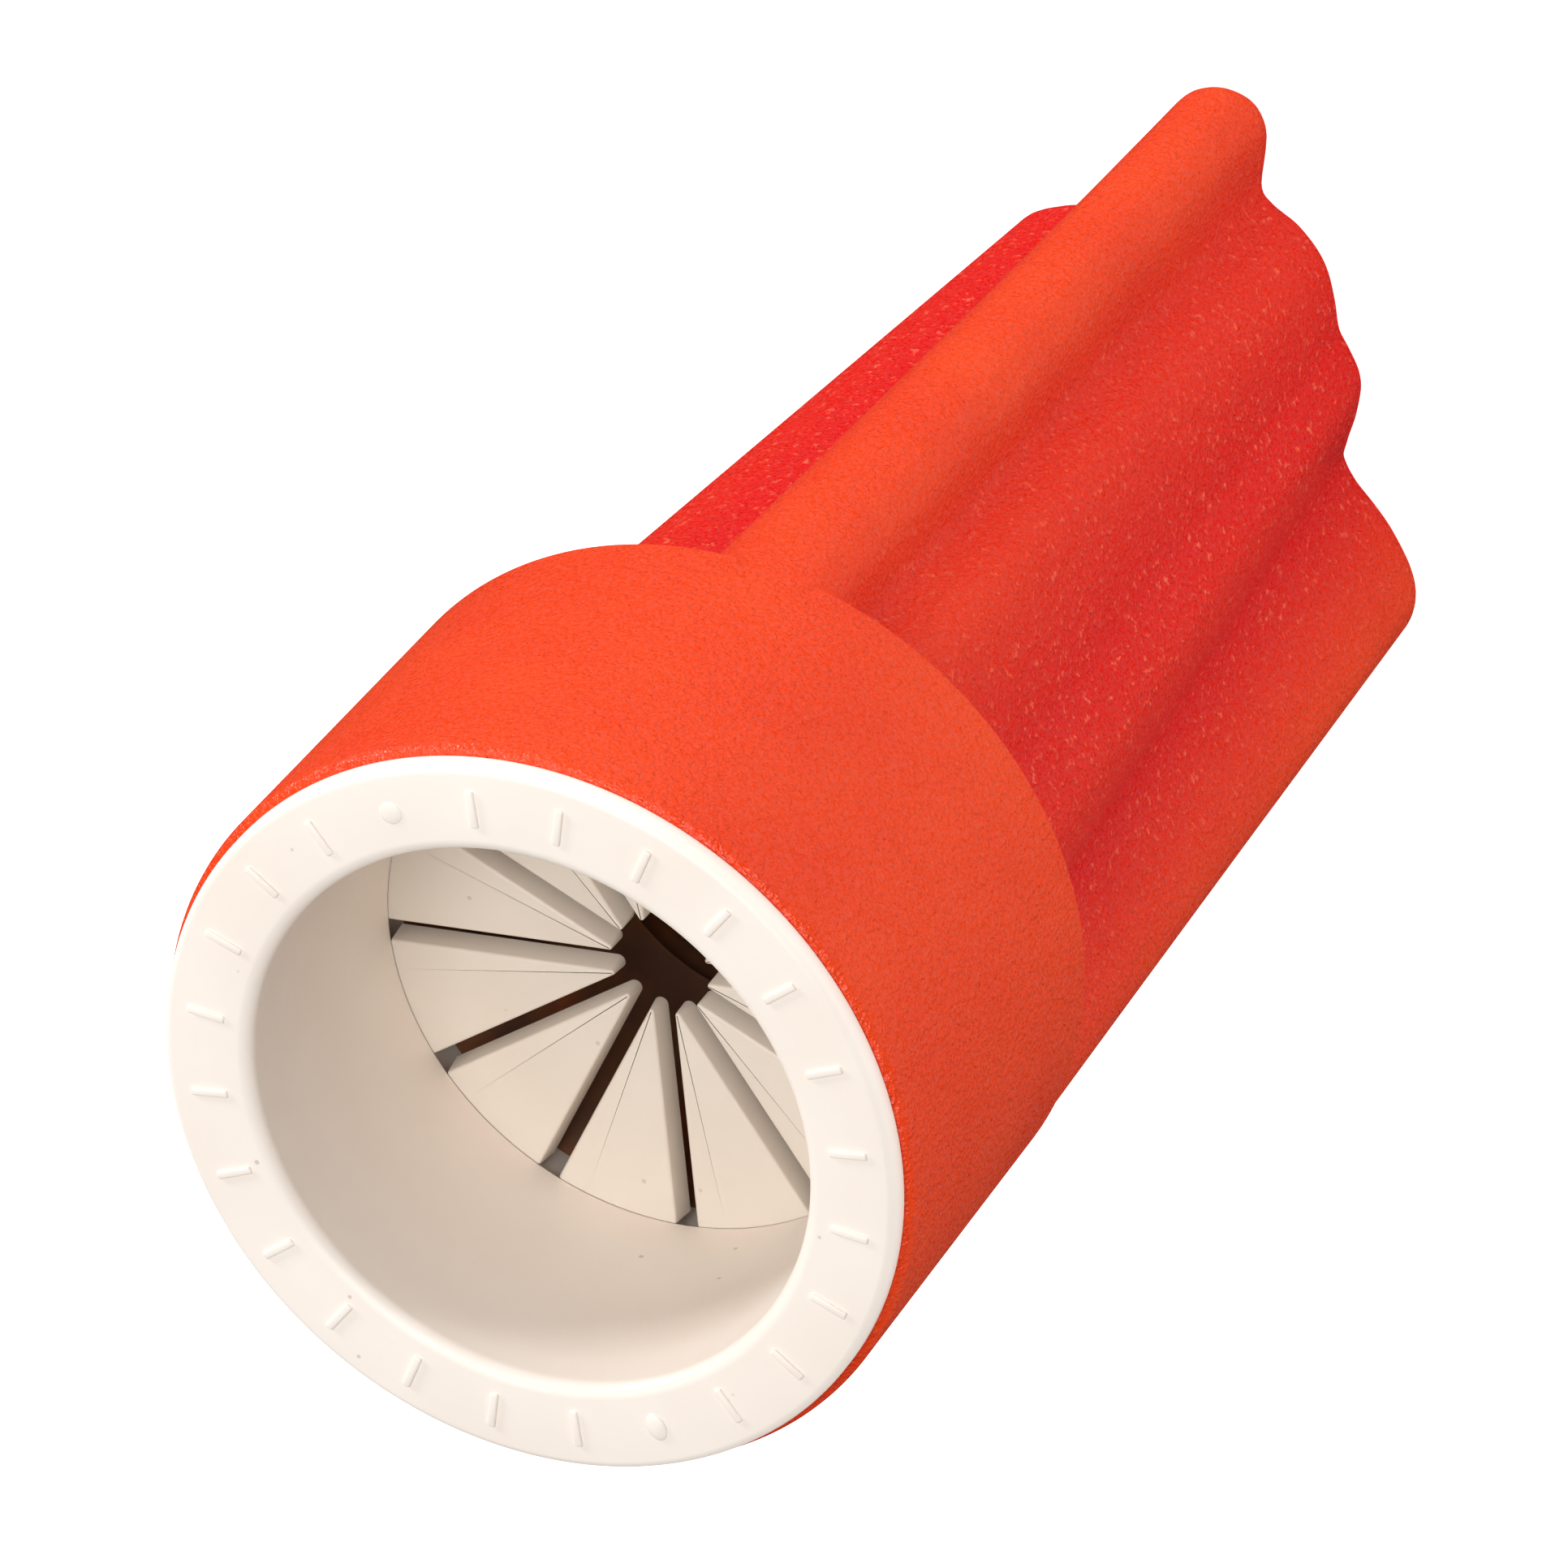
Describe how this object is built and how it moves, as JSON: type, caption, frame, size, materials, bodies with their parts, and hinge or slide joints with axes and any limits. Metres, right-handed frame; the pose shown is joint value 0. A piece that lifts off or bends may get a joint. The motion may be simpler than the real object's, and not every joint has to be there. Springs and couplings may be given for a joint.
{
  "type": "twist wire connector",
  "caption": "Twist-on wire connector for direct burial: winged orange shell, off-white mouth with flexing petals, inner coil and sealant.",
  "frame": {"origin": "centre of the flat closed tip, on the axis", "axes": "+Z along the axis from the closed tip out of the mouth; -Y through the crown of one wing"},
  "size_m": [0.019, 0.019, 0.0397],
  "materials": {
    "orange_shell": "fine sparkling moulded grain",
    "white_insert": "satin",
    "steel_wire": "drawn wire",
    "silicone_sealant": "wet gel"
  },
  "bodies": {
    "shell": {"outer_shell": "orange_shell", "mouth_insert": "white_insert", "wire_spring": "steel_wire", "sealant": "silicone_sealant"},
    "petal_01": {"petal_01": "white_insert"},
    "petal_02": {"petal_02": "white_insert"},
    "petal_03": {"petal_03": "white_insert"},
    "petal_04": {"petal_04": "white_insert"},
    "petal_05": {"petal_05": "white_insert"},
    "petal_06": {"petal_06": "white_insert"},
    "petal_07": {"petal_07": "white_insert"},
    "petal_08": {"petal_08": "white_insert"},
    "petal_09": {"petal_09": "white_insert"},
    "petal_10": {"petal_10": "white_insert"},
    "petal_11": {"petal_11": "white_insert"},
    "petal_12": {"petal_12": "white_insert"}
  },
  "joints": [
    {"name": "petal_01_hinge", "type": "hinge", "parent": "shell", "child": "petal_01", "pos_m": [0.00704, 0.00037, 0.03145], "axis": [0.0523, -0.9986, 0], "range_deg": [0, 60], "stiffness_Nm_per_rad": 0.0002},
    {"name": "petal_02_hinge", "type": "hinge", "parent": "shell", "child": "petal_02", "pos_m": [0.00591, 0.00384, 0.03145], "axis": [0.5446, -0.8387, 0], "range_deg": [0, 60], "stiffness_Nm_per_rad": 0.0002},
    {"name": "petal_03_hinge", "type": "hinge", "parent": "shell", "child": "petal_03", "pos_m": [0.0032, 0.00628, 0.03145], "axis": [0.891, -0.454, 0], "range_deg": [0, 60], "stiffness_Nm_per_rad": 0.0002},
    {"name": "petal_04_hinge", "type": "hinge", "parent": "shell", "child": "petal_04", "pos_m": [-0.00037, 0.00704, 0.03145], "axis": [0.9986, 0.0523, 0], "range_deg": [0, 60], "stiffness_Nm_per_rad": 0.0002},
    {"name": "petal_05_hinge", "type": "hinge", "parent": "shell", "child": "petal_05", "pos_m": [-0.00384, 0.00591, 0.03145], "axis": [0.8387, 0.5446, 0], "range_deg": [0, 60], "stiffness_Nm_per_rad": 0.0002},
    {"name": "petal_06_hinge", "type": "hinge", "parent": "shell", "child": "petal_06", "pos_m": [-0.00628, 0.0032, 0.03145], "axis": [0.454, 0.891, 0], "range_deg": [0, 60], "stiffness_Nm_per_rad": 0.0002},
    {"name": "petal_07_hinge", "type": "hinge", "parent": "shell", "child": "petal_07", "pos_m": [-0.00704, -0.00037, 0.03145], "axis": [-0.0523, 0.9986, 0], "range_deg": [0, 60], "stiffness_Nm_per_rad": 0.0002},
    {"name": "petal_08_hinge", "type": "hinge", "parent": "shell", "child": "petal_08", "pos_m": [-0.00591, -0.00384, 0.03145], "axis": [-0.5446, 0.8387, 0], "range_deg": [0, 60], "stiffness_Nm_per_rad": 0.0002},
    {"name": "petal_09_hinge", "type": "hinge", "parent": "shell", "child": "petal_09", "pos_m": [-0.0032, -0.00628, 0.03145], "axis": [-0.891, 0.454, 0], "range_deg": [0, 60], "stiffness_Nm_per_rad": 0.0002},
    {"name": "petal_10_hinge", "type": "hinge", "parent": "shell", "child": "petal_10", "pos_m": [0.00037, -0.00704, 0.03145], "axis": [-0.9986, -0.0523, 0], "range_deg": [0, 60], "stiffness_Nm_per_rad": 0.0002},
    {"name": "petal_11_hinge", "type": "hinge", "parent": "shell", "child": "petal_11", "pos_m": [0.00384, -0.00591, 0.03145], "axis": [-0.8387, -0.5446, 0], "range_deg": [0, 60], "stiffness_Nm_per_rad": 0.0002},
    {"name": "petal_12_hinge", "type": "hinge", "parent": "shell", "child": "petal_12", "pos_m": [0.00628, -0.0032, 0.03145], "axis": [-0.454, -0.891, 0], "range_deg": [0, 60], "stiffness_Nm_per_rad": 0.0002}
  ],
  "couplings": [
    {"joint": "petal_02_hinge", "follows": "petal_01_hinge", "ratio": 1},
    {"joint": "petal_03_hinge", "follows": "petal_01_hinge", "ratio": 1},
    {"joint": "petal_04_hinge", "follows": "petal_01_hinge", "ratio": 1},
    {"joint": "petal_05_hinge", "follows": "petal_01_hinge", "ratio": 1},
    {"joint": "petal_06_hinge", "follows": "petal_01_hinge", "ratio": 1},
    {"joint": "petal_07_hinge", "follows": "petal_01_hinge", "ratio": 1},
    {"joint": "petal_08_hinge", "follows": "petal_01_hinge", "ratio": 1},
    {"joint": "petal_09_hinge", "follows": "petal_01_hinge", "ratio": 1},
    {"joint": "petal_10_hinge", "follows": "petal_01_hinge", "ratio": 1},
    {"joint": "petal_11_hinge", "follows": "petal_01_hinge", "ratio": 1},
    {"joint": "petal_12_hinge", "follows": "petal_01_hinge", "ratio": 1}
  ]
}
